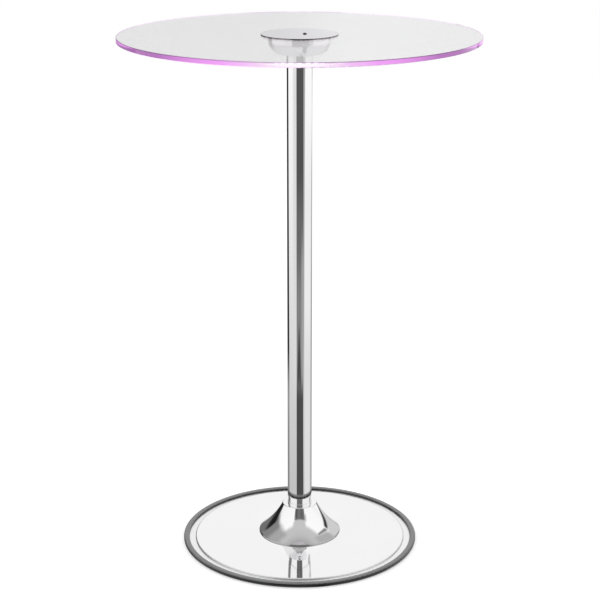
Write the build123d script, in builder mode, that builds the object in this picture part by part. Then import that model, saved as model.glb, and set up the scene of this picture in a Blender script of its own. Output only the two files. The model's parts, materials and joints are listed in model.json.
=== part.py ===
"""Light-up bar table: a clear round top edge-lit from a chrome hub, on a chrome column and a round foot.

The origin is at the floor on the table's axis, with +Z up. All lengths are in millimetres.
"""

import os
from math import atan2, cos, degrees, radians, sin, sqrt

from build123d import *

# Whole table
table_height = 1067.0
fit_gap = 0.05
cut_overrun = 2.0

# Clear top
top_diameter = 713.0
top_thickness = 9.5
top_edge_break = 0.8
top_ledge_width = 11.0

# Hub cap and its pad
cap_diameter = 152.0
cap_thickness = 1.5
cap_edge_radius = 0.6
pad_thickness = 0.8
pad_rim_inset = 3.0
pad_width = 19.0

# Infrared window in the cap, and the receiver below it
window_x = 10.2
window_y = -4.0
window_diameter = 8.8
window_dome_height = 2.4
window_flange_width = 1.0
window_wall = 1.1
receiver_width = 5.6
receiver_depth = 4.4
receiver_height = 4.0

# Seals on both faces of the clear top
gasket_thickness = 0.5
gasket_inset = 2.0

# Ring that carries the light strip
carrier_flange_thickness = 2.0
carrier_drum_wall = 2.0
carrier_ledge_width = 6.4
carrier_ledge_thickness = 3.0

# Light strip and its emitters
strip_thickness = 0.4
strip_width = 5.6
led_count = 24
led_size = 4.8
led_depth = 1.5
led_gap = 1.1

# Screws that hold the carrier to the dish
carrier_screw_count = 6
carrier_screw_diameter = 3.0
carrier_screw_head_diameter = 5.4
carrier_screw_head_height = 2.2
carrier_screw_length = 7.5

# Dish that holds the top from below
dish_sheet = 2.5
dish_depth = 17.0
dish_well_cell_gap = 3.25
dish_rim_play = 0.1

# Circuit board
board_rim_play = 0.4
board_thickness = 1.6
board_spacer_height = 1.5
board_spacer_diameter = 5.6
board_screw_count = 3
board_screw_diameter = 2.5
board_screw_head_diameter = 4.4
board_screw_head_height = 1.5
board_screw_length = 7.0
board_screw_inset = 2.6
board_screw_well_gap = 2.1
chip_size = 9.0
chip_height = 1.4
coil_diameter = 8.0
coil_height = 4.2
capacitor_diameter = 6.0
capacitor_height = 5.0
plug_length = 9.0
plug_width = 4.5
plug_height = 4.6

# Hub bowl
bowl_diameter = 122.0
bowl_sheet = 1.2
bowl_corner_radius = 26.0
bowl_rim_gap = 0.3
bowl_depth = 36.2

# Spool that carries the dish inside the bowl
core_flange_cell_gap = 7.75
core_flange_thickness = 4.0
core_tube_diameter = 32.0
core_tube_wall = 4.0

# Battery cells and their cradles
cell_count = 3
cell_diameter = 16.5
cell_length = 34.5
cell_pole_diameter = 6.0
cell_pole_height = 0.8
cell_inset = 17.0
cell_height_above_bowl = 22.5
cradle_end_wall = 2.2
cradle_play = 0.1
link_width = 3.0
link_thickness = 0.4

# Charging socket and power switch in the back of the bowl
socket_angle = 76.0
switch_angle = 104.0
fitting_headroom = 0.5
fitting_flange_diameter = 9.6
fitting_flange_thickness = 1.4
fitting_barrel_diameter = 8.0
fitting_length = 12.0
fitting_nut_diameter = 11.0
fitting_nut_thickness = 2.2
socket_bore_diameter = 5.5
socket_bore_depth = 9.5
socket_pin_diameter = 1.7
socket_pin_length = 7.5
button_diameter = 4.6
button_play = 0.3
button_stand_out = 2.0
button_collar_width = 0.7
button_collar_thickness = 1.0
button_crown_radius = 0.7
button_travel = 1.5
button_overtravel = 1.0
switch_cavity_wall = 0.5

# Leads between the board and the electrical parts
lead_diameter = 1.4
lead_hole_play = 0.4
lead_bend_radius = 3.0
lead_well_inset = 6.0
lead_clearance = 0.4

# Tie rod with its nuts and washers
rod_diameter = 8.0
rod_hole_play = 0.6
rod_end_stand_out = 3.4
nut_across_flats = 13.0
nut_height = 6.5
washer_diameter = 16.0
washer_thickness = 1.6

# Column
column_diameter = 50.8
column_wall = 2.0
column_low = 96.0
column_plug_length = 24.0

# Collar that joins the column to the trumpet
insert_length_in_tube = 30.0
neck_step = 1.4
lip_step = 0.2
lip_thickness = 3.5
lip_edge_radius = 1.0
insert_wall = 2.8
spigot_wall = 3.0
spigot_length_in_tube = 54.0

# Trumpet cover over the foot of the column
trumpet_sheet = 1.2
trumpet_height = 63.5
trumpet_shoulder_width = 10.3
trumpet_top_angle = 26.0
trumpet_top_edge_radius = 1.6
trumpet_foot_diameter = 171.0
trumpet_roll_radius = 3.0
trumpet_roll_height = 1.0
seat_rim_inset = 2.5
seat_thickness = 6.0

# Chrome base cover
base_diameter = 492.0
base_sheet = 1.2
base_crown_rise = 6.8
base_crown_foot_inset = 17.5
base_crown_foot_rise = 0.1
base_plate_height = 9.2
base_channel_height = 5.9
base_channel_width = 12.6
base_step_radius = 2.2
base_edge_in_ring = 4.4

# Ballast plate and its boss
ballast_gap = 0.05
ballast_rim_play = 1.0
ballast_hub_rim_width = 12.0
boss_rim_width = 7.5
boss_height = 30.0
boss_pocket_diameter = 24.0
boss_pocket_depth = 12.0
cover_bore_play = 1.0

# Screws that hold the base cover to the ballast plate
cover_screw_count = 4
cover_screw_boss_gap = 30.0
cover_screw_diameter = 5.0
cover_screw_head_diameter = 9.5
cover_screw_head_height = 3.4
cover_screw_tip_inset = 1.0

# Rubber ring round the edge, with a flat foot under the ballast plate
edge_ring_width = 12.4
edge_ring_height = 10.6
edge_ring_top_radius = 3.5
edge_ring_foot_radius = 5.5
edge_slot_play = 0.4
foot_height = 2.0
foot_reach = 11.6

# Heights from the top down
top_low = table_height - top_thickness
recess_depth = pad_thickness + carrier_flange_thickness + gasket_thickness
recess_low = table_height - recess_depth
carrier_flange_low = recess_low + gasket_thickness
pad_low = carrier_flange_low + carrier_flange_thickness
cap_high = table_height + cap_thickness
dish_high = top_low - gasket_thickness
dish_low = dish_high - dish_depth
board_low = dish_high + board_spacer_height
board_high = board_low + board_thickness
bowl_high = top_low - bowl_rim_gap
bowl_low = bowl_high - bowl_depth
core_low = bowl_low + bowl_sheet
column_high = bowl_low

# Heights from the floor up
crown_high = base_plate_height + base_crown_rise
trumpet_high = crown_high + trumpet_height
lip_high = trumpet_high + lip_thickness
ballast_low = foot_height
ballast_high = base_plate_height - base_sheet - ballast_gap
ballast_hub_high = crown_high - base_sheet - ballast_gap
seat_high = trumpet_high - trumpet_sheet
boss_high = ballast_low + boss_height

# Radii shared by pieces that fit together
bowl_radius = bowl_diameter / 2
bowl_inner_radius = bowl_radius - bowl_sheet
dish_rim_radius = bowl_inner_radius - dish_rim_play
cell_distance = bowl_radius - cell_inset
cell_inner_radius = cell_distance - cell_diameter / 2
well_radius = cell_inner_radius - dish_well_cell_gap
board_screw_circle_radius = well_radius + board_screw_well_gap
board_radius = board_screw_circle_radius + board_screw_inset
ledge_inner_radius = board_radius + board_rim_play
ledge_outer_radius = ledge_inner_radius + carrier_ledge_width
carrier_screw_circle_radius = (ledge_inner_radius + ledge_outer_radius) / 2
carrier_radius = ledge_outer_radius + carrier_drum_wall
strip_radius = carrier_radius + strip_thickness
top_bore_radius = strip_radius + led_depth + led_gap
recess_radius = top_bore_radius + top_ledge_width
gasket_width = top_ledge_width - gasket_inset
strip_middle = (top_low + recess_low) / 2
led_lead_height = board_high + plug_height / 2
column_radius = column_diameter / 2
column_inner_radius = column_radius - column_wall
neck_radius = column_radius - neck_step
lip_radius = column_radius - lip_step
insert_radius = column_inner_radius - fit_gap
rod_radius = rod_diameter / 2
rod_hole_radius = rod_radius + rod_hole_play
spigot_radius = insert_radius - insert_wall - fit_gap
boss_radius = spigot_radius + boss_rim_width
trumpet_top_radius = lip_radius + trumpet_shoulder_width
cover_screw_radius = cover_screw_diameter / 2
cover_screw_circle_radius = boss_radius + cover_screw_boss_gap
base_radius = base_diameter / 2
edge_inner_radius = base_radius - edge_ring_width
channel_inner_radius = edge_inner_radius - base_channel_width
trumpet_foot_radius = trumpet_foot_diameter / 2
bowl_corner_centre = Vector(bowl_radius - bowl_corner_radius, bowl_low + bowl_corner_radius)
fitting_nut_radius = fitting_nut_diameter / 2
fitting_height = dish_high - dish_sheet - fitting_headroom - fitting_nut_radius
fitting_flange_low = bowl_radius + fit_gap
cell_height = bowl_low + cell_height_above_bowl
lead_radius = lead_diameter / 2
battery_lead_height = cell_height + cell_diameter / 2 + lead_clearance + lead_radius
cell_end_offset = (cell_length + cradle_end_wall) / 2
cell_end_radius = sqrt(cell_end_offset**2 + cell_distance**2)
cell_end_angle = degrees(atan2(cell_end_offset, cell_distance))
battery_lead_angle = cell_end_angle - 90

os.makedirs("parts", exist_ok=True)


def turned(*corners):
    """Add a solid turned about the table's axis, from the (radius, height) corners of its section."""
    with BuildSketch(Plane.XZ) as section:
        with BuildLine():
            Polyline(*corners, close=True)
        make_face()
    revolve(section.sketch, axis=Axis.Z)


def ring(inner_radius, outer_radius, low, high):
    """Add a plain ring between two radii and two heights."""
    turned((inner_radius, low), (outer_radius, low), (outer_radius, high), (inner_radius, high))


def disc(radius, low, high, mode=Mode.ADD):
    """Add or cut an upright cylinder between two heights."""
    with Locations((0, 0, low)):
        Cylinder(radius, high - low, align=(Align.CENTER, Align.CENTER, Align.MIN), mode=mode)


def drilled(radius, low, high):
    """Cut a through hole at each active location, past both faces of the piece."""
    disc(radius, low - cut_overrun, high + cut_overrun, Mode.SUBTRACT)


def screws(head_radius, shank_radius, head_low, head_height, length):
    """Add one pan head screw at each active location: the head above the height, the shank below it."""
    disc(head_radius, head_low, head_low + head_height)
    disc(shank_radius, head_low - length, head_low)


def on_circle(centre, start, end):
    """The point of the circle about centre, through start, that lies halfway to end."""
    outwards = (start + end) / 2 - centre
    return centre + outwards.normalized() * (start - centre).length


def radial_plane(angle, distance):
    """A plane on the bowl's wall that faces away from the axis, at the height of the fittings."""
    outwards = Vector(cos(radians(angle)), sin(radians(angle)), 0)
    return Plane(origin=outwards * distance + Vector(0, 0, fitting_height), x_dir=(0, 0, 1), z_dir=outwards)


# Clear top with its centre bore and the recess for the carrier flange
with BuildPart() as top_disc:
    ring(top_bore_radius, top_diameter / 2, top_low, table_height)
    outer_edges = top_disc.edges().filter_by(GeomType.CIRCLE).group_by(SortBy.RADIUS)[-1]
    fillet(outer_edges, top_edge_break)
    disc(recess_radius, recess_low, table_height + cut_overrun, Mode.SUBTRACT)
top_disc.part.label = "top_disc"

# Polished cap on the clear top
with BuildPart() as hub_cap:
    disc(cap_diameter / 2, table_height, cap_high)
    fillet(hub_cap.edges().sort_by(Axis.Z)[-1], cap_edge_radius)
    with Locations((window_x, window_y, 0)):
        drilled(window_diameter / 2 + fit_gap, table_height, cap_high)
hub_cap.part.label = "hub_cap"

with BuildPart() as cap_pad:
    pad_outer_radius = recess_radius - pad_rim_inset
    ring(pad_outer_radius - pad_width, pad_outer_radius, pad_low, table_height)
cap_pad.part.label = "cap_pad"

# Dark domed window, flanged under the cap
window_radius = window_diameter / 2
window_flange_radius = window_radius + window_flange_width
dome_high = cap_high + window_dome_height
with BuildPart() as ir_window:
    with BuildSketch(Plane.XZ):
        with BuildLine():
            dome_radius = (window_radius**2 + window_dome_height**2) / (2 * window_dome_height)
            dome_centre = Vector(0, dome_high - dome_radius)
            dome_rim = Vector(window_radius, cap_high)
            dome_tip = Vector(0, dome_high)
            ThreePointArc(dome_rim, on_circle(dome_centre, dome_rim, dome_tip), dome_tip)
            Polyline(
                (0, dome_high),
                (0, table_height),
                (window_radius - window_wall, table_height),
                (window_radius - window_wall, pad_low),
                (window_flange_radius, pad_low),
                (window_flange_radius, table_height),
                (window_radius, table_height),
                (window_radius, cap_high),
            )
        make_face()
    revolve(axis=Axis.Z)
ir_window.part = ir_window.part.moved(Location((window_x, window_y, 0)))
ir_window.part.label = "ir_window"

# Seals above and below the clear top
upper_gasket_radius = recess_radius - fit_gap
with BuildPart() as upper_gasket:
    ring(upper_gasket_radius - gasket_width, upper_gasket_radius, recess_low, carrier_flange_low)
upper_gasket.part.label = "upper_gasket"

with BuildPart() as lower_gasket:
    ring(dish_rim_radius - gasket_width, dish_rim_radius, dish_high, top_low)
lower_gasket.part.label = "lower_gasket"

# Ring with an outer flange, a drum and an inner ledge
with BuildPart() as led_carrier:
    flange_radius = recess_radius - fit_gap
    ledge_high = dish_high + carrier_ledge_thickness
    turned(
        (ledge_inner_radius, dish_high),
        (carrier_radius, dish_high),
        (carrier_radius, carrier_flange_low),
        (flange_radius, carrier_flange_low),
        (flange_radius, pad_low),
        (ledge_outer_radius, pad_low),
        (ledge_outer_radius, ledge_high),
        (ledge_inner_radius, ledge_high),
    )
    with PolarLocations(carrier_screw_circle_radius, carrier_screw_count):
        drilled(carrier_screw_diameter / 2 + fit_gap, dish_high, ledge_high)
    with BuildSketch(Plane(origin=(0, 0, led_lead_height), z_dir=(0, -1, 0))):
        Circle(lead_radius + lead_hole_play)
    extrude(amount=carrier_radius + cut_overrun, mode=Mode.SUBTRACT)
led_carrier.part.label = "led_carrier"

with BuildPart() as led_strip:
    ring(carrier_radius, strip_radius, strip_middle - strip_width / 2, strip_middle + strip_width / 2)
led_strip.part.label = "led_strip"

with BuildPart() as leds:
    with Locations((0, 0, strip_middle)):
        with PolarLocations(strip_radius + led_depth / 2, led_count):
            Box(led_depth, led_size, led_size)
leds.part.label = "leds"

with BuildPart() as carrier_screws:
    with PolarLocations(carrier_screw_circle_radius, carrier_screw_count):
        screws(
            carrier_screw_head_diameter / 2,
            carrier_screw_diameter / 2,
            dish_high + carrier_ledge_thickness,
            carrier_screw_head_height,
            carrier_screw_length,
        )
carrier_screws.part.label = "carrier_screws"

# Pressed dish: a well on the core and a wide rim under the clear top
with BuildPart() as support_dish:
    turned(
        (rod_hole_radius, dish_low),
        (well_radius, dish_low),
        (well_radius, dish_high - dish_sheet),
        (dish_rim_radius, dish_high - dish_sheet),
        (dish_rim_radius, dish_high),
        (well_radius - dish_sheet, dish_high),
        (well_radius - dish_sheet, dish_low + dish_sheet),
        (rod_hole_radius, dish_low + dish_sheet),
    )
    with PolarLocations(carrier_screw_circle_radius, carrier_screw_count):
        drilled(carrier_screw_diameter / 2 + fit_gap, dish_high - dish_sheet, dish_high)
    with PolarLocations(board_screw_circle_radius, board_screw_count):
        drilled(board_screw_diameter / 2 + fit_gap, dish_high - dish_sheet, dish_high)
    lead_holes = (
        (socket_angle, fitting_height),
        (switch_angle, fitting_height),
        (battery_lead_angle, battery_lead_height),
    )
    for angle, height in lead_holes:
        outwards = Vector(cos(radians(angle)), sin(radians(angle)), 0)
        with BuildSketch(Plane(origin=(0, 0, height), z_dir=outwards)):
            Circle(lead_radius + lead_hole_play)
        extrude(amount=well_radius + cut_overrun, mode=Mode.SUBTRACT)
support_dish.part.label = "support_dish"

# Circuit board on three spacers
with BuildPart() as controller_board:
    disc(board_radius, board_low, board_high)
    with PolarLocations(board_screw_circle_radius, board_screw_count):
        drilled(board_screw_diameter / 2 + fit_gap, board_low, board_high)
controller_board.part.label = "controller_board"

with BuildPart() as board_spacers:
    with PolarLocations(board_screw_circle_radius, board_screw_count):
        disc(board_spacer_diameter / 2, dish_high, board_low)
        drilled(board_screw_diameter / 2 + fit_gap, dish_high, board_low)
board_spacers.part.label = "board_spacers"

with BuildPart() as board_screws:
    with PolarLocations(board_screw_circle_radius, board_screw_count):
        screws(
            board_screw_head_diameter / 2,
            board_screw_diameter / 2,
            board_high,
            board_screw_head_height,
            board_screw_length,
        )
board_screws.part.label = "board_screws"

# Chips, coil, capacitors and plugs that stand on the board
chip_place_shares = ((-0.42, 0.1), (-0.05, 0.45))
capacitor_place_shares = ((0.45, 0.4), (0.62, 0.15))
plug_place_shares = ((0, -0.62), (-0.5, -0.42))
with BuildPart() as board_parts:
    with BuildSketch(Plane.XY.offset(board_high)):
        with Locations(*[(board_radius * x, board_radius * y) for x, y in chip_place_shares]):
            Rectangle(chip_size, chip_size)
    extrude(amount=chip_height)
    with BuildSketch(Plane.XY.offset(board_high)):
        Circle(coil_diameter / 2)
    extrude(amount=coil_height)
    with BuildSketch(Plane.XY.offset(board_high)):
        with Locations(*[(board_radius * x, board_radius * y) for x, y in capacitor_place_shares]):
            Circle(capacitor_diameter / 2)
    extrude(amount=capacitor_height)
    with BuildSketch(Plane.XY.offset(board_high)):
        with Locations(*[(board_radius * x, board_radius * y) for x, y in plug_place_shares]):
            Rectangle(plug_length, plug_width)
    extrude(amount=plug_height)
board_parts.part.label = "board_parts"

with BuildPart() as ir_receiver:
    with BuildSketch(Plane.XY.offset(board_high)):
        with Locations((window_x, window_y)):
            Rectangle(receiver_width, receiver_depth)
    extrude(amount=receiver_height)
    with Locations((window_x, window_y, board_high + receiver_height)):
        Sphere(receiver_depth / 4)
ir_receiver.part.label = "ir_receiver"

# Spun bowl below the clear top
with BuildPart() as hub_bowl:
    with BuildSketch(Plane.XZ):
        with BuildLine():
            outer_side = bowl_corner_centre + Vector(bowl_corner_radius, 0)
            outer_foot = bowl_corner_centre - Vector(0, bowl_corner_radius)
            inner_side = outer_side - Vector(bowl_sheet, 0)
            inner_foot = outer_foot + Vector(0, bowl_sheet)
            Line((rod_hole_radius, bowl_low), outer_foot)
            ThreePointArc(outer_foot, on_circle(bowl_corner_centre, outer_foot, outer_side), outer_side)
            Polyline(outer_side, (bowl_radius, bowl_high), (bowl_inner_radius, bowl_high), inner_side)
            ThreePointArc(inner_side, on_circle(bowl_corner_centre, inner_side, inner_foot), inner_foot)
            Polyline(inner_foot, (rod_hole_radius, core_low), (rod_hole_radius, bowl_low))
        make_face()
    revolve(axis=Axis.Z)
    for angle in (socket_angle, switch_angle):
        with BuildSketch(radial_plane(angle, bowl_radius - bowl_corner_radius)):
            Circle(fitting_barrel_diameter / 2 + fit_gap)
        extrude(amount=bowl_corner_radius + cut_overrun, mode=Mode.SUBTRACT)
hub_bowl.part.label = "hub_bowl"

# Spool clamped between the bowl's floor and the dish
with BuildPart() as hub_core:
    core_radius = core_tube_diameter / 2
    core_flange_radius = cell_inner_radius - core_flange_cell_gap
    turned(
        (core_radius - core_tube_wall, core_low),
        (core_flange_radius, core_low),
        (core_flange_radius, core_low + core_flange_thickness),
        (core_radius, core_low + core_flange_thickness),
        (core_radius, dish_low),
        (core_radius - core_tube_wall, dish_low),
    )
hub_core.part.label = "hub_core"

# Battery cells lie across three sides of the bowl, clear of the fittings at the back
cell_angles = [-90 + (turn - (cell_count - 1) / 2) * 90 for turn in range(cell_count)]
cell_places = []
for angle in cell_angles:
    sideways = Vector(-sin(radians(angle)), cos(radians(angle)), 0)
    middle = Vector(cell_distance * cos(radians(angle)), cell_distance * sin(radians(angle)), cell_height)
    cell_places.append(Plane(origin=middle - sideways * (cell_length / 2), x_dir=(0, 0, 1), z_dir=sideways))

with BuildPart() as battery_cells:
    for place in cell_places:
        with BuildSketch(place):
            Circle(cell_diameter / 2)
        extrude(amount=cell_length - cell_pole_height)
        with BuildSketch(place.offset(cell_length - cell_pole_height)):
            Circle(cell_pole_diameter / 2)
        extrude(amount=cell_pole_height)
battery_cells.part.label = "battery_cells"

# Each cradle follows the bowl's inner face and holds the lower half of a cell
cradle_radius = bowl_corner_radius - bowl_sheet - fit_gap
cradle_rise = bowl_corner_centre.Y - cell_height
cradle_reach = sqrt(cradle_radius**2 - cradle_rise**2)
cradle_length = cell_length + 2 * cradle_end_wall
with BuildPart() as battery_cradles:
    with BuildSketch(Plane.XZ):
        with BuildLine():
            cradle_foot = bowl_corner_centre - Vector(0, cradle_radius)
            cradle_top = Vector(bowl_corner_centre.X + cradle_reach, cell_height)
            ThreePointArc(cradle_foot, on_circle(bowl_corner_centre, cradle_foot, cradle_top), cradle_top)
            Polyline(cradle_top, (cradle_foot.X, cell_height), cradle_foot)
        make_face()
    revolve(axis=Axis.Z)
    with BuildSketch(Plane.XY.offset(bowl_low)):
        for angle in cell_angles:
            with Locations(Location((0, 0, 0), (0, 0, angle))):
                with Locations((bowl_radius / 2, 0)):
                    Rectangle(bowl_radius, cradle_length)
    extrude(amount=bowl_depth, mode=Mode.INTERSECT)
    for place in cell_places:
        with BuildSketch(place.offset(-cradle_play)):
            Circle(cell_diameter / 2 + cradle_play)
        extrude(amount=cell_length + 2 * cradle_play, mode=Mode.SUBTRACT)
battery_cradles.part.label = "battery_cradles"

# Charging socket through the back of the bowl
barrel_radius = fitting_barrel_diameter / 2
nut_drop = max(bowl_corner_centre.Y - fitting_height + fitting_nut_radius, 0)
wall_radius = bowl_corner_centre.X + sqrt((bowl_corner_radius - bowl_sheet) ** 2 - nut_drop**2)
nut_face = sqrt(wall_radius**2 - fitting_nut_radius**2) - fit_gap
with BuildPart() as charge_socket:
    with BuildSketch(radial_plane(socket_angle, fitting_flange_low)):
        Circle(fitting_flange_diameter / 2)
    extrude(amount=fitting_flange_thickness)
    with BuildSketch(radial_plane(socket_angle, fitting_flange_low)):
        Circle(barrel_radius)
    extrude(amount=-fitting_length)
    with BuildSketch(radial_plane(socket_angle, fitting_flange_low + fitting_flange_thickness)):
        Circle(socket_bore_diameter / 2)
        Circle(socket_pin_diameter / 2, mode=Mode.SUBTRACT)
    extrude(amount=-socket_bore_depth, mode=Mode.SUBTRACT)
    pin_tip = fitting_flange_low + fitting_flange_thickness - socket_bore_depth + socket_pin_length
    with BuildSketch(radial_plane(socket_angle, pin_tip)):
        Circle(socket_pin_diameter / 2)
    extrude(amount=socket_bore_depth, mode=Mode.SUBTRACT)
charge_socket.part.label = "charge_socket"

# Power switch housing, with a cavity for the button's collar
button_bore_radius = button_diameter / 2 + button_play
cavity_depth = button_play + button_collar_thickness + button_travel + button_overtravel
with BuildPart() as power_switch:
    with BuildSketch(radial_plane(switch_angle, fitting_flange_low)):
        Circle(fitting_flange_diameter / 2)
    extrude(amount=fitting_flange_thickness)
    with BuildSketch(radial_plane(switch_angle, fitting_flange_low)):
        Circle(barrel_radius)
    extrude(amount=-fitting_length)
    with BuildSketch(radial_plane(switch_angle, fitting_flange_low)):
        Circle(barrel_radius - switch_cavity_wall)
    extrude(amount=-cavity_depth, mode=Mode.SUBTRACT)
    with BuildSketch(radial_plane(switch_angle, fitting_flange_low)):
        Circle(button_bore_radius)
    extrude(amount=fitting_flange_thickness + cut_overrun, mode=Mode.SUBTRACT)
power_switch.part.label = "power_switch"

# Push button that slides in the switch housing
collar_outer = fitting_flange_low - button_play
button_tip = fitting_flange_low + fitting_flange_thickness + button_stand_out
with BuildPart() as power_button:
    with BuildSketch(radial_plane(switch_angle, button_tip)):
        Circle(button_diameter / 2)
    extrude(amount=collar_outer - button_tip)
    tip_edge = power_button.edges().filter_by(GeomType.CIRCLE).sort_by_distance((0, 0, table_height / 2))[-1]
    fillet(tip_edge, button_crown_radius)
    with BuildSketch(radial_plane(switch_angle, collar_outer)):
        Circle(button_diameter / 2 + button_collar_width)
    extrude(amount=-button_collar_thickness)
power_button.part.label = "power_button"


def fitting_nut(angle):
    """Add the round nut that holds a fitting against the inner face of the bowl."""
    with BuildSketch(radial_plane(angle, nut_face)) as outline:
        Circle(fitting_nut_radius)
        Circle(barrel_radius + fit_gap, mode=Mode.SUBTRACT)
    extrude(outline.sketch, amount=-fitting_nut_thickness)


with BuildPart() as socket_nut:
    fitting_nut(socket_angle)
socket_nut.part.label = "socket_nut"

with BuildPart() as switch_nut:
    fitting_nut(switch_angle)
switch_nut.part.label = "switch_nut"

# Strips that join the cells in a row
with BuildPart() as cell_links:
    for before, after in zip(cell_angles, cell_angles[1:]):
        middle_angle = (before + after) / 2
        link_half_angle = radians((after - before) / 2 - cell_end_angle)
        with Locations(Location((0, 0, cell_height), (0, 0, middle_angle))):
            with Locations((cell_end_radius * cos(link_half_angle), 0, link_thickness / 2)):
                Box(link_width, 2 * cell_end_radius * sin(link_half_angle), link_thickness)
cell_links.part.label = "cell_links"


def lead(angle, *points):
    """Add a lead in the radial plane at an angle, through its (radius, height) points with rounded bends."""
    outwards = Vector(cos(radians(angle)), sin(radians(angle)), 0)
    stops = [outwards * radius + Vector(0, 0, height) for radius, height in points]
    with BuildLine() as route:
        if len(stops) > 2:
            FilletPolyline(*stops, radius=lead_bend_radius)
        else:
            Line(*stops)
    with BuildSketch(Plane(origin=stops[0], z_dir=route.line % 0)) as end:
        Circle(lead_radius)
    sweep(end.sketch, path=route.line)


lead_well_radius = well_radius - lead_well_inset - dish_sheet
fitting_end = fitting_flange_low - fitting_length
with BuildPart() as socket_lead:
    lead(
        socket_angle,
        (lead_well_radius, board_low),
        (lead_well_radius, fitting_height),
        (fitting_end, fitting_height),
    )
socket_lead.part.label = "socket_lead"

with BuildPart() as switch_lead:
    lead(
        switch_angle,
        (lead_well_radius, board_low),
        (lead_well_radius, fitting_height),
        (fitting_end, fitting_height),
    )
switch_lead.part.label = "switch_lead"

with BuildPart() as battery_lead:
    lead(
        battery_lead_angle,
        (lead_well_radius, board_low),
        (lead_well_radius, battery_lead_height),
        (cell_end_radius, battery_lead_height),
        (cell_end_radius, cell_height + link_thickness),
    )
battery_lead.part.label = "battery_lead"

plug_face = board_radius * -plug_place_shares[0][1] + plug_width / 2
with BuildPart() as led_lead:
    lead(-90, (plug_face, led_lead_height), (carrier_radius, led_lead_height))
led_lead.part.label = "led_lead"

# Tie rod from the boss in the base to the dish in the hub
upper_washer_low = dish_low + dish_sheet
upper_nut_low = upper_washer_low + washer_thickness
lower_washer_high = ballast_low + boss_pocket_depth
lower_nut_high = lower_washer_high - washer_thickness
rod_high = upper_nut_low + nut_height + rod_end_stand_out
rod_low = ballast_low
with BuildPart() as tie_rod:
    disc(rod_radius, rod_low, rod_high)
tie_rod.part.label = "tie_rod"

with BuildPart() as rod_washers:
    ring(rod_radius + fit_gap, washer_diameter / 2, lower_nut_high, lower_washer_high)
    ring(rod_radius + fit_gap, washer_diameter / 2, upper_washer_low, upper_nut_low)
rod_washers.part.label = "rod_washers"

with BuildPart() as rod_nuts:
    for nut_low in (lower_nut_high - nut_height, upper_nut_low):
        with BuildSketch(Plane.XY.offset(nut_low)):
            RegularPolygon(nut_across_flats / 2, 6, major_radius=False)
            Circle(rod_radius + fit_gap, mode=Mode.SUBTRACT)
        extrude(amount=nut_height)
rod_nuts.part.label = "rod_nuts"

# Column tube with a plug in its upper end
with BuildPart() as column_tube:
    ring(column_inner_radius, column_radius, column_low, column_high)
column_tube.part.label = "column_tube"

with BuildPart() as column_plug:
    ring(rod_hole_radius, insert_radius, column_high - column_plug_length, column_high)
column_plug.part.label = "column_plug"

# Collar: a lip on the trumpet, a neck, and a length that fits inside the tube
with BuildPart() as column_collar:
    collar_bore_radius = spigot_radius + fit_gap
    turned(
        (collar_bore_radius, trumpet_high),
        (lip_radius, trumpet_high),
        (lip_radius, lip_high),
        (neck_radius, lip_high),
        (neck_radius, column_low),
        (insert_radius, column_low),
        (insert_radius, column_low + insert_length_in_tube),
        (collar_bore_radius, column_low + insert_length_in_tube),
    )
    lip_edges = column_collar.edges().filter_by(GeomType.CIRCLE).filter_by_position(
        Axis.Z, lip_high - fit_gap, lip_high + fit_gap
    )
    fillet(lip_edges.sort_by(SortBy.RADIUS)[-1], lip_edge_radius)
column_collar.part.label = "column_collar"

with BuildPart() as column_spigot:
    ring(spigot_radius - spigot_wall, spigot_radius, boss_high, column_low + spigot_length_in_tube)
column_spigot.part.label = "column_spigot"

with BuildPart() as trumpet_seat:
    ring(spigot_radius + fit_gap, trumpet_top_radius - seat_rim_inset, seat_high - seat_thickness, seat_high)
trumpet_seat.part.label = "trumpet_seat"

# Trumpet cover: the flare is one arc that runs on into the rolled foot
top_corner = Vector(trumpet_top_radius, trumpet_high)
roll_centre = Vector(trumpet_foot_radius - trumpet_roll_radius, crown_high + trumpet_roll_height)
away = Vector(cos(radians(trumpet_top_angle)), sin(radians(trumpet_top_angle)))
from_roll = top_corner - roll_centre
flare_reach = trumpet_roll_radius - from_roll.dot(away)
flare_radius = (from_roll.length**2 - trumpet_roll_radius**2) / (2 * flare_reach)
flare_centre = top_corner + away * flare_radius
to_flare = (flare_centre - roll_centre).normalized()
with BuildPart() as trumpet_cover:
    with BuildSketch(Plane.XZ):
        with BuildLine():
            outer_join = roll_centre + to_flare * trumpet_roll_radius
            outer_roll = roll_centre + Vector(trumpet_roll_radius, 0)
            inner_join = roll_centre + to_flare * (trumpet_roll_radius - trumpet_sheet)
            inner_roll = outer_roll - Vector(trumpet_sheet, 0)
            inner_flare_radius = flare_radius + trumpet_sheet
            inner_drop = flare_centre.Y - seat_high
            inner_top = Vector(flare_centre.X - sqrt(inner_flare_radius**2 - inner_drop**2), seat_high)
            bore_radius = spigot_radius + fit_gap
            Line((bore_radius, trumpet_high), top_corner)
            ThreePointArc(top_corner, on_circle(flare_centre, top_corner, outer_join), outer_join)
            ThreePointArc(outer_join, on_circle(roll_centre, outer_join, outer_roll), outer_roll)
            Polyline(
                outer_roll,
                (trumpet_foot_radius, crown_high),
                (trumpet_foot_radius - trumpet_sheet, crown_high),
                inner_roll,
            )
            ThreePointArc(inner_roll, on_circle(roll_centre, inner_roll, inner_join), inner_join)
            ThreePointArc(inner_join, on_circle(flare_centre, inner_join, inner_top), inner_top)
            Polyline(inner_top, (bore_radius, seat_high), (bore_radius, trumpet_high))
        make_face()
    revolve(axis=Axis.Z)
    top_edges = trumpet_cover.edges().filter_by(GeomType.CIRCLE).group_by(Axis.Z)[-1]
    fillet(top_edges.sort_by(SortBy.RADIUS)[-1], trumpet_top_edge_radius)
trumpet_cover.part.label = "trumpet_cover"

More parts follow.
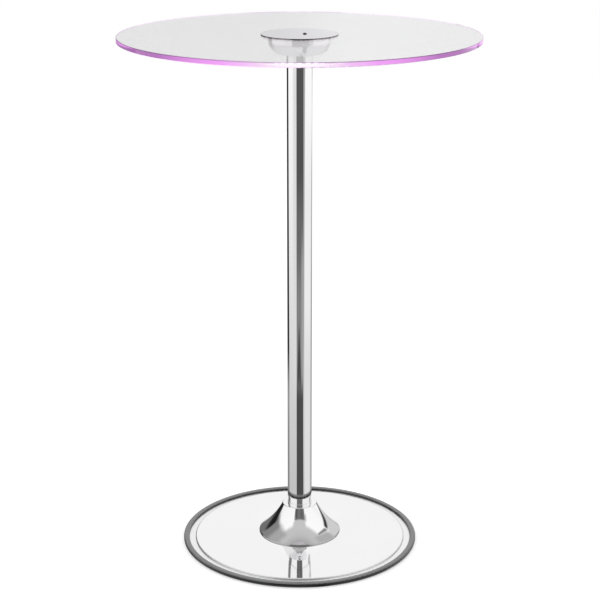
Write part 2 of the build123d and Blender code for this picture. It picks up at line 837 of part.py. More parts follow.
# Pressed base cover: a flat seat for the trumpet, a broad low crown round it, a step down to a channel, and
# an edge in the rubber ring
with BuildPart() as base_cover:
    cover_bore_radius = boss_radius + cover_bore_play
    cover_edge_radius = edge_inner_radius + base_edge_in_ring
    inner_step_radius = channel_inner_radius - base_sheet
    down = Vector(0, -base_sheet)
    crown_top = Vector(trumpet_foot_radius, crown_high)
    crown_foot_radius = channel_inner_radius - base_crown_foot_inset
    crown_foot = Vector(crown_foot_radius, base_plate_height + base_crown_foot_rise)
    plate_edge = Vector(channel_inner_radius, base_plate_height)
    inwards = (crown_foot - plate_edge).normalized()
    with BuildSketch(Plane.XZ):
        with BuildLine():
            Line((cover_bore_radius, crown_high), crown_top)
            TangentArc(crown_foot, crown_top, tangent=inwards)
            Polyline(
                crown_foot,
                plate_edge,
                (channel_inner_radius, base_channel_height),
                (cover_edge_radius, base_channel_height),
                (cover_edge_radius, base_channel_height - base_sheet),
                (inner_step_radius, base_channel_height - base_sheet),
                (inner_step_radius, base_plate_height - base_sheet),
                crown_foot + down,
            )
            TangentArc(crown_foot + down, crown_top + down, tangent=inwards)
            Polyline(
                crown_top + down,
                (cover_bore_radius, crown_high - base_sheet),
                (cover_bore_radius, crown_high),
            )
        make_face()
    revolve(axis=Axis.Z)
    step_edge = base_cover.edges().filter_by(GeomType.CIRCLE).filter_by_position(
        Axis.Z, base_plate_height - fit_gap, base_plate_height + fit_gap
    )
    fillet(step_edge, base_step_radius)
    with PolarLocations(cover_screw_circle_radius, cover_screw_count):
        drilled(cover_screw_radius + fit_gap, crown_high - base_sheet, crown_high)
base_cover.part.label = "base_cover"

# Ballast plate, thinner under the channel and thicker where the cover is screwed to it
with BuildPart() as ballast_plate:
    ballast_hub_radius = cover_screw_circle_radius + ballast_hub_rim_width
    ballast_step_radius = inner_step_radius - ballast_rim_play
    ballast_rim_radius = edge_inner_radius - ballast_rim_play
    ballast_rim_high = base_channel_height - base_sheet - ballast_gap
    turned(
        (boss_radius + fit_gap, ballast_low),
        (ballast_rim_radius, ballast_low),
        (ballast_rim_radius, ballast_rim_high),
        (ballast_step_radius, ballast_rim_high),
        (ballast_step_radius, ballast_high),
        (ballast_hub_radius, ballast_high),
        (ballast_hub_radius, ballast_hub_high),
        (boss_radius + fit_gap, ballast_hub_high),
    )
    with PolarLocations(cover_screw_circle_radius, cover_screw_count):
        drilled(cover_screw_radius + fit_gap, ballast_low, ballast_hub_high)
ballast_plate.part.label = "ballast_plate"

with BuildPart() as base_boss:
    ring(rod_hole_radius, boss_radius, ballast_low, boss_high)
    disc(boss_pocket_diameter / 2, ballast_low - cut_overrun, ballast_low + boss_pocket_depth, Mode.SUBTRACT)
base_boss.part.label = "base_boss"

with BuildPart() as cover_screws:
    with PolarLocations(cover_screw_circle_radius, cover_screw_count):
        screws(
            cover_screw_head_diameter / 2,
            cover_screw_radius,
            crown_high,
            cover_screw_head_height,
            crown_high - ballast_low - cover_screw_tip_inset,
        )
cover_screws.part.label = "cover_screws"

# Rubber ring: grips the edge of the base cover, and a flat foot reaches under the ballast plate
with BuildPart() as foot_ring:
    with BuildSketch(Plane.XZ) as section:
        corner = (Align.MIN, Align.MIN)
        with Locations((edge_inner_radius, 0)):
            Rectangle(edge_ring_width, edge_ring_height, align=corner)
        fillet(section.vertices().group_by(Axis.Y)[-1], edge_ring_top_radius)
        fillet(section.vertices().group_by(Axis.Y)[0].sort_by(Axis.X)[-1], edge_ring_foot_radius)
        with Locations((edge_inner_radius - foot_reach, 0)):
            Rectangle(foot_reach, foot_height, align=corner)
        slot_depth = base_edge_in_ring + edge_slot_play
        with Locations((edge_inner_radius, base_channel_height - base_sheet - fit_gap)):
            Rectangle(slot_depth, base_sheet + 2 * fit_gap, align=corner, mode=Mode.SUBTRACT)
    revolve(axis=Axis.Z)
foot_ring.part.label = "foot_ring"

pieces = (
    top_disc, hub_cap, cap_pad, ir_window, upper_gasket, lower_gasket, led_carrier, led_strip, leds,
    carrier_screws, support_dish, controller_board, board_spacers, board_screws, board_parts, ir_receiver,
    hub_bowl, hub_core, battery_cells, battery_cradles, cell_links, charge_socket, power_switch, power_button,
    socket_nut, switch_nut, socket_lead, switch_lead, battery_lead, led_lead, tie_rod, rod_washers, rod_nuts,
    column_tube, column_plug, column_collar, column_spigot, trumpet_seat, trumpet_cover, base_cover,
    ballast_plate, base_boss, cover_screws, foot_ring,
)
for piece in pieces:
    export_step(piece.part, f"parts/{piece.part.label}.step")
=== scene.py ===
"""Light-up bar table: finishes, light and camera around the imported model. Everything is in metres."""

import json
from math import cos, radians

import bpy
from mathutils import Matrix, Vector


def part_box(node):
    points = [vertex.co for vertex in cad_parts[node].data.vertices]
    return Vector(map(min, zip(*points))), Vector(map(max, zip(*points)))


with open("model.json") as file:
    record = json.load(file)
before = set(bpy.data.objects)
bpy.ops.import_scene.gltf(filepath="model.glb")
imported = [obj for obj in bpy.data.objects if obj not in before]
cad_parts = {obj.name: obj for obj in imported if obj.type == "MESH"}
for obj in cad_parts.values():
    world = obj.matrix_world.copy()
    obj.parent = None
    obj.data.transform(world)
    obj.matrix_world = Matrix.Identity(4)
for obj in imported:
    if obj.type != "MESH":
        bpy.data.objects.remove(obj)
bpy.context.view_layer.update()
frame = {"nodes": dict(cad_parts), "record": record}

# Camera fitted to the photograph's ellipses
CAMERA_LENS = 99.76
SENSOR_WIDTH = 36.0
CAMERA_PLACE = (0.0008, -3.24847, 1.51383)
CAMERA_PITCH = -16.91

WHITE = (1, 1, 1, 1)

# A ray with a lower glossy depth than this has met no mirror yet
ONE_REFLECTION = 1

# Light on what isn't mirror-like
AMBIENT_LIGHT = 0.72
LAMP_HEIGHT = 2.9
LAMP_SIZE = 2.4
LAMP_POWER = 16.0

# Floor
FLOOR_HALF_WIDTH = 6.0
FLOOR_COLOUR = (0.8, 0.8, 0.8, 1)
FLOOR_OWN_WHITE = 0.47

# The studio that metal and glass reflect: its level at each elevation, in degrees above the horizon
STUDIO_LEVELS = (
    (-90, 0.80),
    (-36, 0.74),
    (-27, 0.56),
    (-23, 0.60),
    (-20, 0.70),
    (-15, 0.88),
    (-9, 1.05),
    (0, 1.05),
    (12, 0.96),
    (20, 1.02),
    (47.5, 1.06),
    (53, 0.60),
    (64, 0.56),
    (71, 0.47),
    (75, 0.40),
    (80, 0.95),
    (90, 1.05),
)

# Panels and dark gaps of the studio, later ones over earlier ones. Azimuth 0 lies towards the camera and
# 90 to its right; each row is low end, high end, left and right side at the low end, left and right side at
# the high end, softness of the ends and of the sides, and brightness. All but the last are in degrees.
STUDIO_PANELS = (
    (40, 95, 140, 180, 140, 180, 6, 8, 1.05),
    (40, 95, 180, 222, 180, 222, 6, 8, 0.90),
    (63, 80, 96, 143, 96, 143, 4, 8, 1.05),
    (63, 80, -146, -96, -146, -96, 4, 8, 0.82),
    (5, 13, 160, 179, 160, 179, 5, 4, 0.88),
    (5, 13, 179, 200, 179, 200, 5, 4, 0.76),
    (17, 36, 160, 200, 160, 200, 5, 8, 0.98),
    (-3, 16, -36, 36, -36, 36, 4, 20, 0.55),
    (-2, 20, -29, 26, -29, 26, 3, 4, 0.36),
    (44.5, 56, -34, 32, -34, 32, 3, 16, 0.60),
    (20, 44, -28, 29, -28, 29, 5, 5, 0.17),
    (26, 41, -25, -14, -24, -14, 5, 6, 0.10),
    (26, 41, 7, 18, 7, 18, 5, 6, 0.12),
    (34, 44, 30, 38, 30, 38, 5, 6, 0.48),
    (-26, -14, 48, 118, 48, 118, 3, 14, 0.80),
    (-18, -13, 48, 118, 48, 118, 3, 14, 0.92),
    (-19, -8, -60, -22, -60, -22, 4, 30, 0.78),
    (-20, -6, 35, 40, 35, 54, 4, 4, 0.42),
    (-21, -3, -28, 35, -28, 35, 2, 3, 0.24),
    (-16, -3, -28, 35, -28, 35, 2.4, 3, 0.15),
    (-13.4, -3, -28, 35, -28, 35, 2, 3, 0.09),
    (-20, -15, 17, 35, 17, 35, 2, 12, 0.38),
    (-19.8, -17.8, -24, 16, -7, -2, 0.6, 3, 0.07),
    (-27, -19.9, -28, 41, -28, 33, 0.8, 3, 0.075),
    (33, 58, -154, -95, -130, -62, 10, 22, 0.41),
    (12, 38, -168, -117, -151, -92, 10, 12, 0.24),
    (-14, 18, -168, -121, -168, -124, 6, 8, 0.17),
    (-8, 21, -154, -129, -136, -118, 5, 8, 0.015),
    (-20, -6, -158, -112, -173, -124, 3, 5, 0.02),
    (-26, -20, -158, -114, -158, -114, 3, 5, 0.26),
    (-25, -11.5, 118, 142, 134, 168, 3, 6, 0.42),
    (-26, -15, 158, 174, 158, 170, 4, 6, 0.1),
    (-12, 34, 152, 178, 118, 148, 6, 6, 0.66),
    (32, 60, 116, 150, 72, 125, 8, 14, 0.46),
    (-10, 28, 145, 152, 113, 121, 4, 5, 0.04),
    (30, 50, 113, 119, 84, 89, 3, 4, 0.25),
)

# Dark line in the studio's lower half that a bowl shows from rim to bottom: how high it reaches, how softly
# it ends there, the turns of the bowl's face that show its start, its darkest part and its end, its
# brightness, and the drop of the line of sight that these turns are laid out for
BOWL_LINE_TOP = -24.0
BOWL_LINE_FADE = 4.0
BOWL_LINE_START = 3.5
BOWL_LINE_DARK_FROM = 8.5
BOWL_LINE_DARK_TO = 12.0
BOWL_LINE_END = 14.5
BOWL_LINE_LEVEL = 0.02
SIGHT_DROP = radians(10.0)

# Sockets of a Mix node that hold its colours: they share their names with those of the other kinds of mix
MIX_FIRST_COLOUR = 6
MIX_SECOND_COLOUR = 7
MIX_RESULT_COLOUR = 2


def node(tree, kind, **values):
    """Add a node and set its properties."""
    made = tree.nodes.new(kind)
    for name, value in values.items():
        setattr(made, name, value)
    return made


def feed(tree, socket, value):
    """Link a socket to another one, or set it to a plain value."""
    if isinstance(value, bpy.types.NodeSocket):
        tree.links.new(value, socket)
    else:
        socket.default_value = value


def maths(tree, operation, *values, clamp=False):
    """The result socket of a Math node."""
    made = node(tree, "ShaderNodeMath", operation=operation, use_clamp=clamp)
    for socket, value in zip(made.inputs, values):
        feed(tree, socket, value)
    return made.outputs[0]


def fade(tree, value, start, end, first=0.0, last=1.0, kind="SMOOTHSTEP"):
    """A value that runs from first to last while another one runs from start to end."""
    made = node(tree, "ShaderNodeMapRange", interpolation_type=kind)
    feed(tree, made.inputs["Value"], value)
    for name, number in (("From Min", start), ("From Max", end), ("To Min", first), ("To Max", last)):
        feed(tree, made.inputs[name], number)
    return made.outputs["Result"]


def blend_colours(tree, share, first, second):
    """The colour socket of a mix of two colours, with the second one's share."""
    made = node(tree, "ShaderNodeMix", data_type="RGBA")
    feed(tree, made.inputs["Factor"], share)
    feed(tree, made.inputs[MIX_FIRST_COLOUR], first)
    feed(tree, made.inputs[MIX_SECOND_COLOUR], second)
    return made.outputs[MIX_RESULT_COLOUR]


def ramp(tree, value, stops):
    """The colour socket of a ramp with (position, colour) stops."""
    made = node(tree, "ShaderNodeValToRGB")
    elements = made.color_ramp.elements
    while len(elements) < len(stops):
        elements.new(1.0)
    for element, (position, colour) in zip(elements, stops):
        element.position = position
        element.color = colour
    feed(tree, made.inputs["Fac"], value)
    return made.outputs["Color"]


def grey(level):
    """An opaque grey."""
    return (level, level, level, 1)


def build_world():
    """White for the camera and through glass, the studio for reflections, and an even light for the rest."""
    world = bpy.data.worlds.new("studio")
    world.use_nodes = True
    tree = world.node_tree
    tree.nodes.clear()
    direction = node(tree, "ShaderNodeTexCoord").outputs["Generated"]
    axes = node(tree, "ShaderNodeSeparateXYZ")
    feed(tree, axes.inputs[0], direction)
    x, y, z = axes.outputs
    towards_camera = maths(tree, "MULTIPLY", y, -1)
    azimuth = maths(tree, "DEGREES", maths(tree, "ARCTAN2", x, towards_camera))
    elevation = maths(tree, "DEGREES", maths(tree, "ARCSINE", z))
    lowest, highest = STUDIO_LEVELS[0][0], STUDIO_LEVELS[-1][0]
    height_share = fade(tree, elevation, lowest, highest, kind="LINEAR")
    stops = [((angle - lowest) / (highest - lowest), grey(level)) for angle, level in STUDIO_LEVELS]
    colour = ramp(tree, height_share, stops)
    for low, high, low_left, low_right, high_left, high_right, end_soft, side_soft, level in STUDIO_PANELS:
        low_centre, high_centre = (low_left + low_right) / 2, (high_left + high_right) / 2
        low_width, high_width = (low_right - low_left) / 2, (high_right - high_left) / 2
        centre = fade(tree, elevation, low, high, low_centre, high_centre, kind="LINEAR")
        turn = maths(tree, "WRAP", maths(tree, "SUBTRACT", azimuth, centre), 180, -180)
        width = fade(tree, elevation, low, high, low_width, high_width, kind="LINEAR")
        past_side = maths(tree, "SUBTRACT", maths(tree, "ABSOLUTE", turn), width)
        side = fade(tree, past_side, -side_soft / 2, side_soft / 2, 1, 0)
        above = fade(tree, elevation, low - end_soft / 2, low + end_soft / 2)
        below = fade(tree, elevation, high - end_soft / 2, high + end_soft / 2, 1, 0)
        share = maths(tree, "MULTIPLY", side, maths(tree, "MULTIPLY", above, below))
        colour = blend_colours(tree, share, colour, grey(level))
    face_y = maths(tree, "SUBTRACT", cos(SIGHT_DROP), y)
    face_turn = maths(tree, "DEGREES", maths(tree, "ARCTAN2", x, face_y))
    darker = fade(tree, face_turn, BOWL_LINE_START, BOWL_LINE_DARK_FROM)
    before_end = fade(tree, face_turn, BOWL_LINE_DARK_TO, BOWL_LINE_END, 1, 0)
    low_down = fade(tree, elevation, BOWL_LINE_TOP - BOWL_LINE_FADE, BOWL_LINE_TOP, 1, 0)
    share = maths(tree, "MULTIPLY", low_down, maths(tree, "MULTIPLY", darker, before_end))
    colour = blend_colours(tree, share, colour, grey(BOWL_LINE_LEVEL))
    path = node(tree, "ShaderNodeLightPath").outputs
    unreflected = maths(tree, "LESS_THAN", path["Glossy Depth"], ONE_REFLECTION)
    through_glass = maths(tree, "MULTIPLY", path["Is Transmission Ray"], unreflected)
    straight = maths(tree, "ADD", path["Is Camera Ray"], through_glass, clamp=True)
    seen = maths(tree, "ADD", path["Is Camera Ray"], path["Is Transmission Ray"], clamp=True)
    seen = maths(tree, "ADD", seen, path["Is Glossy Ray"], clamp=True)
    shown = blend_colours(tree, straight, colour, WHITE)
    background = node(tree, "ShaderNodeBackground")
    feed(tree, background.inputs["Color"], blend_colours(tree, seen, WHITE, shown))
    feed(tree, background.inputs["Strength"], fade(tree, seen, 0, 1, AMBIENT_LIGHT, 1.0, kind="LINEAR"))
    output = node(tree, "ShaderNodeOutputWorld")
    feed(tree, output.inputs["Surface"], background.outputs[0])
    bpy.context.scene.world = world


def build_floor():
    """A pale floor that reads white and keeps the table's shadow."""
    signs = ((-1, -1), (1, -1), (1, 1), (-1, 1))
    corners = [(x * FLOOR_HALF_WIDTH, y * FLOOR_HALF_WIDTH, 0) for x, y in signs]
    mesh = bpy.data.meshes.new("floor")
    mesh.from_pydata(corners, [], [(0, 1, 2, 3)])
    floor = bpy.data.objects.new("floor", mesh)
    bpy.context.scene.collection.objects.link(floor)
    material = bpy.data.materials.new("floor")
    material.use_nodes = True
    tree = material.node_tree
    tree.nodes.clear()
    matt = node(tree, "ShaderNodeBsdfDiffuse")
    matt.inputs["Color"].default_value = FLOOR_COLOUR
    path = node(tree, "ShaderNodeLightPath").outputs
    seen = maths(tree, "ADD", path["Is Camera Ray"], path["Is Transmission Ray"], clamp=True)
    seen = maths(tree, "ADD", seen, path["Is Glossy Ray"], clamp=True)
    glow = node(tree, "ShaderNodeEmission")
    feed(tree, glow.inputs["Strength"], maths(tree, "MULTIPLY", seen, FLOOR_OWN_WHITE))
    both = node(tree, "ShaderNodeAddShader")
    feed(tree, both.inputs[0], matt.outputs[0])
    feed(tree, both.inputs[1], glow.outputs[0])
    output = node(tree, "ShaderNodeOutputMaterial")
    feed(tree, output.inputs["Surface"], both.outputs[0])
    mesh.materials.append(material)
    floor.visible_glossy = False


def build_lamp():
    """One large soft lamp overhead."""
    lamp = bpy.data.lights.new("overhead_lamp", "AREA")
    lamp.size = LAMP_SIZE
    lamp.energy = LAMP_POWER
    lamp_object = bpy.data.objects.new("overhead_lamp", lamp)
    lamp_object.location = (0, 0, LAMP_HEIGHT)
    lamp_object.visible_glossy = False
    lamp_object.visible_transmission = False
    bpy.context.scene.collection.objects.link(lamp_object)


def build_camera():
    """The photograph's camera."""
    camera = bpy.data.cameras.new("camera")
    camera.lens = CAMERA_LENS
    camera.sensor_width = SENSOR_WIDTH
    camera_object = bpy.data.objects.new("camera", camera)
    camera_object.location = CAMERA_PLACE
    camera_object.rotation_euler = (radians(90 + CAMERA_PITCH), 0, 0)
    bpy.context.scene.collection.objects.link(camera_object)
    bpy.context.scene.camera = camera_object


# Noise: how rough it is, and the grey values between which it mostly lies
NOISE_ROUGHNESS = 0.55
NOISE_LOW = 0.3
NOISE_HIGH = 0.7

# Plain finishes: grains across one cloud of colour, and how far the roughness varies
GRAINS_PER_CLOUD = 12
GLOSS_LOW_SHARE = 0.8
GLOSS_HIGH_SHARE = 1.25

# Mirror plate: its polishing lines' detail and the values between which they lie once the haze thins them
# out, the haze's scale, the roughness from clear to hazy, and the plate's colours
STREAK_DETAIL = 4.0
STREAK_LOW = 0.12
STREAK_HIGH = 0.42
PLATE_HAZE_SCALE = 9.0
PLATE_CLEAR = 0.02
PLATE_HAZY = 0.055
PLATE_COLOUR = (0.9, 0.9, 0.905)
PLATE_SECOND_COLOUR = (0.925, 0.92, 0.925)


def shader_of(tree):
    """A tree's Principled shader."""
    return next(made for made in tree.nodes if made.type == "BSDF_PRINCIPLED")


def new_material(name):
    """A node material with one Principled shader: (material, tree, shader)."""
    material = bpy.data.materials.new(name)
    material.use_nodes = True
    tree = material.node_tree
    return material, tree, shader_of(tree)


def place_of(tree):
    """The position on the object, with its x, y, z and its distance from the table's axis."""
    position = node(tree, "ShaderNodeTexCoord").outputs["Object"]
    axes = node(tree, "ShaderNodeSeparateXYZ")
    feed(tree, axes.inputs[0], position)
    x, y, z = axes.outputs
    squares = maths(tree, "ADD", maths(tree, "MULTIPLY", x, x), maths(tree, "MULTIPLY", y, y))
    return position, x, y, z, maths(tree, "SQRT", squares)


def noise(tree, vector, scale, detail=3.0):
    """The grey value of a noise texture."""
    made = node(tree, "ShaderNodeTexNoise")
    feed(tree, made.inputs["Vector"], vector)
    made.inputs["Scale"].default_value = scale
    made.inputs["Detail"].default_value = detail
    made.inputs["Roughness"].default_value = NOISE_ROUGHNESS
    return made.outputs["Fac"]


def bumped(tree, shader, height, depth):
    """Give a shader a bump of a real depth in metres."""
    made = node(tree, "ShaderNodeBump")
    made.inputs["Strength"].default_value = 1.0
    made.inputs["Distance"].default_value = depth
    feed(tree, made.inputs["Height"], height)
    feed(tree, shader.inputs["Normal"], made.outputs["Normal"])


def clouded_colour(tree, shader, cloud, first, second):
    """Let a shader's base colour drift between two colours."""
    feed(tree, shader.inputs["Base Color"], blend_colours(tree, cloud, (*first, 1), (*second, 1)))


def varied_gloss(tree, shader, grain, low, high):
    """Let a shader's roughness follow a noise."""
    feed(tree, shader.inputs["Roughness"], fade(tree, grain, NOISE_LOW, NOISE_HIGH, low, high))


def plain_finish(name, colour, second_colour, rough, grain_scale, bump_depth, metallic):
    """A finish with a grain that shifts its colour and gloss a little and stands out by a real depth."""
    material, tree, shader = new_material(name)
    position = place_of(tree)[0]
    grain = noise(tree, position, grain_scale)
    cloud = noise(tree, position, grain_scale / GRAINS_PER_CLOUD)
    clouded_colour(tree, shader, cloud, colour, second_colour)
    varied_gloss(tree, shader, grain, rough * GLOSS_LOW_SHARE, rough * GLOSS_HIGH_SHARE)
    shader.inputs["Metallic"].default_value = metallic
    bumped(tree, shader, grain, bump_depth)
    return material


def chrome(name, around, along, streak_depth, first=PLATE_COLOUR, second=PLATE_SECOND_COLOUR, satin=()):
    """Mirror plate with faint polishing lines: their number round the axis and along it set their direction.

    satin holds the inner and outer radius of a duller ring, its roughness and how softly it starts.
    """
    material, tree, shader = new_material(name)
    position, x, y, z, distance = place_of(tree)
    direction = node(tree, "ShaderNodeVectorMath", operation="NORMALIZE")
    flat = node(tree, "ShaderNodeCombineXYZ")
    feed(tree, flat.inputs[0], x)
    feed(tree, flat.inputs[1], y)
    feed(tree, direction.inputs[0], flat.outputs[0])
    streak_place = node(tree, "ShaderNodeVectorMath", operation="MULTIPLY_ADD")
    feed(tree, streak_place.inputs[0], direction.outputs[0])
    streak_place.inputs[1].default_value = (around, around, 0)
    upright = node(tree, "ShaderNodeCombineXYZ")
    feed(tree, upright.inputs[2], maths(tree, "MULTIPLY", maths(tree, "ADD", z, distance), along))
    feed(tree, streak_place.inputs[2], upright.outputs[0])
    streaks = noise(tree, streak_place.outputs[0], 1.0, STREAK_DETAIL)
    haze = noise(tree, position, PLATE_HAZE_SCALE)
    clouded_colour(tree, shader, haze, first, second)
    shader.inputs["Metallic"].default_value = 1.0
    hazy_streaks = maths(tree, "MULTIPLY", streaks, haze)
    rough = fade(tree, hazy_streaks, STREAK_LOW, STREAK_HIGH, PLATE_CLEAR, PLATE_HAZY)
    if satin:
        inner, outer, dullness, softness = satin
        starts = fade(tree, distance, inner - softness, inner)
        share = maths(tree, "MULTIPLY", starts, fade(tree, distance, outer, outer + softness, 1, 0))
        rough = maths(tree, "ADD", rough, maths(tree, "MULTIPLY", share, dullness))
    feed(tree, shader.inputs["Roughness"], rough)
    bumped(tree, shader, streaks, streak_depth)
    return material


# Duller step and channel of the base cover: inner and outer radius, added roughness and softness
STEP_SATIN = (0.2185, 0.2385, 0.3, 0.0015)

# Clear acrylic: its refractive index, the scale of its haze and its roughness from clear to hazy
ACRYLIC_INDEX = 1.49
ACRYLIC_HAZE_SCALE = 6.0
ACRYLIC_HAZY = 0.012

# Painted glow on the acrylic's cut edge, an emission that stands in for the light led into it, in shares of
# its
# thickness: where the glow starts and is full at the rim, where it drops towards the top corner, and its
# strength there
EDGE_LIGHT_START = 0.1
EDGE_LIGHT_FULL = 0.04
EDGE_CORNER_START = 0.24
EDGE_CORNER_END = 0.12
EDGE_CORNER_STRENGTH = 0.6

# Plate of the cap, and the painted shade along its rim
CAP_COLOUR = (0.81, 0.795, 0.835)
CAP_SECOND_COLOUR = (0.83, 0.815, 0.85)
CAP_PAINTED_SHADE_WIDTH = 0.0012
CAP_PAINTED_SHADE_COLOUR = (0.16, 0.13, 0.16, 1)

# Painted contact shade round the foot of the trumpet, where it meets the base
FOOT_SHADE_HEIGHT = 0.0042
FOOT_SHADE_COLOUR = (0.45, 0.45, 0.455, 1)

# Plate of the bowl, and the painted light on it, an emission that stands in for the light spilling onto it
# from
# the lit top: its colour, and its strength at the bottom and the top
BOWL_COLOUR = (0.84, 0.83, 0.84)
BOWL_SECOND_COLOUR = (0.87, 0.86, 0.87)
BOWL_PAINTED_LIGHT_COLOUR = (1.0, 0.8, 0.98, 1)
BOWL_PAINTED_LIGHT_LOW = 0.08
BOWL_PAINTED_LIGHT_HIGH = 0.17

# Scales of the clouds and grains in dark window, rubber and emitters, and the rubber's index and grain depth
WINDOW_CLOUD_SCALE = 400.0
RUBBER_CLOUD_SCALE = 30.0
RUBBER_GRAIN_SCALE = 900.0
RUBBER_GRAIN_DEPTH = 0.000006
RUBBER_INDEX = 1.5
EMITTER_CLOUD_SCALE = 300.0
EMITTER_STRENGTH = 2.0

# Grey band on top of the rubber ring, painted light for its lit top over the painted shade of its near-black
# walls: how far down and how far inwards it reaches, in metres
PAINTED_LIT_BAND_DEPTH = 0.0016
PAINTED_LIT_BAND_REACH = 0.0128
PAINTED_LIT_BAND_SOFTNESS = 0.0005

# Colour of the painted edge glow from straight in front (0) to side on (1), whitest face-on as a painted
# highlight
EDGE_GLOW = (
    (0.0, (1.0, 0.95, 1.0, 1)),
    (0.012, (0.98, 0.88, 0.98, 1)),
    (0.034, (0.92, 0.69, 0.92, 1)),
    (0.056, (0.88, 0.52, 0.91, 1)),
    (0.11, (0.87, 0.35, 0.91, 1)),
    (0.21, (0.73, 0.26, 0.76, 1)),
    (0.364, (0.42, 0.14, 0.47, 1)),
    (0.52, (0.37, 0.12, 0.40, 1)),
    (0.66, (0.40, 0.19, 0.43, 1)),
    (1.0, (0.40, 0.22, 0.43, 1)),
)


def clear_acrylic():
    """Polished clear acrylic whose cut edge carries a painted glow, an emission that stands in for the light
    led into it.
    """
    material, tree, shader = new_material("clear_acrylic")
    position, _, _, z, distance = place_of(tree)
    low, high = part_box("top_disc")
    rim, top = high.x, high.z
    thickness = top - low.z
    shader.inputs["IOR"].default_value = ACRYLIC_INDEX
    shader.inputs["Transmission Weight"].default_value = 1.0
    haze = noise(tree, position, ACRYLIC_HAZE_SCALE)
    clouded_colour(tree, shader, haze, (0.865, 0.865, 0.88), (0.885, 0.885, 0.895))
    varied_gloss(tree, shader, haze, 0.0, ACRYLIC_HAZY)
    # Painted glow: emission on the rim, whiter where the edge faces the view and purple side-on
    facing = node(tree, "ShaderNodeLayerWeight").outputs["Facing"]
    feed(tree, shader.inputs["Emission Color"], ramp(tree, facing, EDGE_GLOW))
    at_rim = fade(tree, distance, rim - thickness * EDGE_LIGHT_START, rim - thickness * EDGE_LIGHT_FULL)
    corner_start, corner_end = top - thickness * EDGE_CORNER_START, top - thickness * EDGE_CORNER_END
    below_corner = fade(tree, z, corner_start, corner_end, 1.0, EDGE_CORNER_STRENGTH)
    feed(tree, shader.inputs["Emission Strength"], maths(tree, "MULTIPLY", at_rim, below_corner))
    return material


def dark_window():
    """Dark polished plastic."""
    material, tree, shader = new_material("dark_window")
    position = place_of(tree)[0]
    cloud = noise(tree, position, WINDOW_CLOUD_SCALE)
    clouded_colour(tree, shader, cloud, (0.02, 0.012, 0.02), (0.035, 0.02, 0.035))
    varied_gloss(tree, shader, cloud, 0.04, 0.09)
    return material


def edge_rubber():
    """Dark rubber with a glossy skin, pressed near-black as painted shade of its walls, and a grey band of
    painted light along its top.
    """
    material, tree, shader = new_material("foot_rubber")
    position, _, _, z, distance = place_of(tree)
    cloud = noise(tree, position, RUBBER_CLOUD_SCALE)
    grain = noise(tree, position, RUBBER_GRAIN_SCALE)
    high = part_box("foot_ring")[1]
    rim, top = high.x, high.z
    above = fade(tree, z, top - PAINTED_LIT_BAND_DEPTH - PAINTED_LIT_BAND_SOFTNESS, top - PAINTED_LIT_BAND_DEPTH)
    beyond = fade(tree, distance, rim - PAINTED_LIT_BAND_REACH - PAINTED_LIT_BAND_SOFTNESS, rim - PAINTED_LIT_BAND_REACH)
    # Painted shade and light: the near-black stands for the shaded walls and gap, the grey band for the lit
    # top
    black = blend_colours(tree, cloud, (0.010, 0.010, 0.011, 1), (0.016, 0.016, 0.017, 1))
    band = blend_colours(tree, cloud, (0.19, 0.19, 0.193, 1), (0.22, 0.22, 0.223, 1))
    share = maths(tree, "MULTIPLY", above, beyond)
    feed(tree, shader.inputs["Base Color"], blend_colours(tree, share, black, band))
    varied_gloss(tree, shader, cloud, 0.14, 0.2)
    shader.inputs["IOR"].default_value = RUBBER_INDEX
    bumped(tree, shader, grain, RUBBER_GRAIN_DEPTH)
    return material


def darken(tree, share, dark_colour):
    """Blend a shader's base colour towards a darker one."""
    base_colour = shader_of(tree).inputs["Base Color"]
    feed(tree, base_colour, blend_colours(tree, share, base_colour.links[0].from_socket, dark_colour))


def cap_chrome():
    """The cap's plate, with painted shade darkening it along its rim."""
    material = chrome("cap_chrome", 30.0, 4.0, 0.000002, CAP_COLOUR, CAP_SECOND_COLOUR)
    tree = material.node_tree
    distance = place_of(tree)[4]
    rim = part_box("hub_cap")[1].x
    # Painted shade: the base colour darkens over the last millimetre or so towards the cap's rim
    darken(tree, fade(tree, distance, rim - CAP_PAINTED_SHADE_WIDTH, rim - CAP_PAINTED_SHADE_WIDTH / 2), CAP_PAINTED_SHADE_COLOUR)
    return material


def trumpet_chrome():
    """The trumpet's plate, drawn from top to bottom, with painted contact shade where its foot meets the
    base.
    """
    material = chrome("trumpet_chrome", 26.0, 1.0, 0.00005)
    tree = material.node_tree
    z = place_of(tree)[3]
    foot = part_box("trumpet_cover")[0].z
    # Painted contact shade: the base colour darkens over the lowest few millimetres of the trumpet
    darken(tree, fade(tree, z, foot + FOOT_SHADE_HEIGHT / 2, foot + FOOT_SHADE_HEIGHT, 1, 0), FOOT_SHADE_COLOUR)
    return material


def bowl_chrome():
    """The bowl's plate, with painted light: an emission that stands in for the lit top's light falling on it.
    """
    material = chrome("bowl_chrome", 30.0, 4.0, 0.000003, BOWL_COLOUR, BOWL_SECOND_COLOUR)
    tree = material.node_tree
    shader = shader_of(tree)
    low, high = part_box("hub_bowl")
    z = place_of(tree)[3]
    # Painted light: emission on the bowl, stronger towards its top
    shader.inputs["Emission Color"].default_value = BOWL_PAINTED_LIGHT_COLOUR
    painted_light = fade(tree, z, low.z, high.z, BOWL_PAINTED_LIGHT_LOW, BOWL_PAINTED_LIGHT_HIGH)
    feed(tree, shader.inputs["Emission Strength"], painted_light)
    return material


def led_lens():
    """Lit emitters, whose colour drifts a little."""
    material, tree, shader = new_material("led_lens")
    position = place_of(tree)[0]
    cloud = noise(tree, position, EMITTER_CLOUD_SCALE)
    clouded_colour(tree, shader, cloud, (0.9, 0.75, 1), (0.8, 0.6, 0.95))
    glow = blend_colours(tree, cloud, (0.95, 0.55, 1, 1), (0.8, 0.4, 1, 1))
    feed(tree, shader.inputs["Emission Color"], glow)
    shader.inputs["Emission Strength"].default_value = EMITTER_STRENGTH
    return material


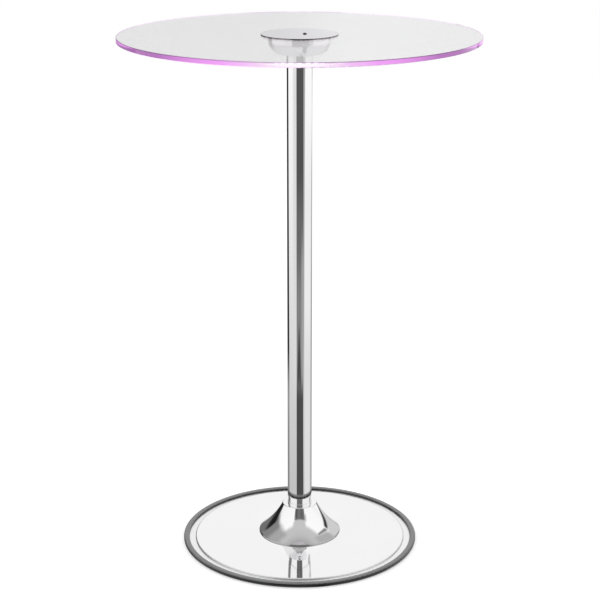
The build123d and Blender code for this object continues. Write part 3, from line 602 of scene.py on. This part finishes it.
# Plain finishes by slot: two colours, roughness, grains in a metre, depth of the grain in metres and metallic
PLAIN_FINISHES = {
    "zinc_steel": ((0.62, 0.63, 0.66), (0.7, 0.7, 0.71), 0.28, 900, 0.00001, 1),
    "carrier_aluminium": ((0.78, 0.79, 0.8), (0.84, 0.84, 0.85), 0.3, 1200, 0.000008, 1),
    "ballast_iron": ((0.045, 0.045, 0.05), (0.07, 0.07, 0.075), 0.42, 420, 0.00006, 0),
    "silicone": ((0.72, 0.72, 0.74), (0.8, 0.8, 0.82), 0.5, 700, 0.00002, 0),
    "pad_foam": ((0.24, 0.24, 0.26), (0.34, 0.34, 0.36), 0.85, 1500, 0.00008, 0),
    "strip_film": ((0.86, 0.86, 0.84), (0.93, 0.93, 0.91), 0.4, 800, 0.00001, 0),
    "board_laminate": ((0.015, 0.15, 0.06), (0.02, 0.22, 0.09), 0.3, 600, 0.00002, 0),
    "black_plastic": ((0.022, 0.022, 0.024), (0.035, 0.035, 0.038), 0.38, 1100, 0.00002, 0),
    "fitting_nickel": ((0.66, 0.63, 0.58), (0.74, 0.71, 0.66), 0.2, 900, 0.000006, 1),
    "cell_jacket": ((0.03, 0.1, 0.36), (0.05, 0.14, 0.46), 0.25, 500, 0.00001, 0),
    "button_plastic": ((0.02, 0.02, 0.022), (0.03, 0.03, 0.033), 0.16, 1300, 0.000008, 0),
    "lead_sheath": ((0.018, 0.018, 0.018), (0.03, 0.03, 0.03), 0.5, 1500, 0.00002, 0),
}


def build_materials():
    """One material for each slot of the record."""
    materials = {slot: plain_finish(slot, *finish) for slot, finish in PLAIN_FINISHES.items()}
    materials["clear_acrylic"] = clear_acrylic()
    materials["chrome"] = chrome("chrome", 40.0, 6.0, 0.000004)
    materials["foot_rubber"] = edge_rubber()
    materials["window_plastic"] = dark_window()
    materials["led_lens"] = led_lens()
    return materials


def dress():
    """Give each node of the model its own material, or that of its slot."""
    materials = build_materials()
    own_materials = {
        "hub_cap": cap_chrome(),
        "hub_bowl": bowl_chrome(),
        "trumpet_cover": trumpet_chrome(),
        "base_cover": chrome("base_chrome", 40.0, 6.0, 0.000004, satin=STEP_SATIN),
    }
    slots = {row["node"]: row["material_slot"] for row in frame["record"]["subparts"]}
    for name, piece in frame["nodes"].items():
        for slot in piece.material_slots:
            slot.material = own_materials.get(name, materials[slots[name]])


build_camera()
build_world()
build_floor()
build_lamp()
dress()
bpy.context.scene.view_settings.view_transform = "Standard"
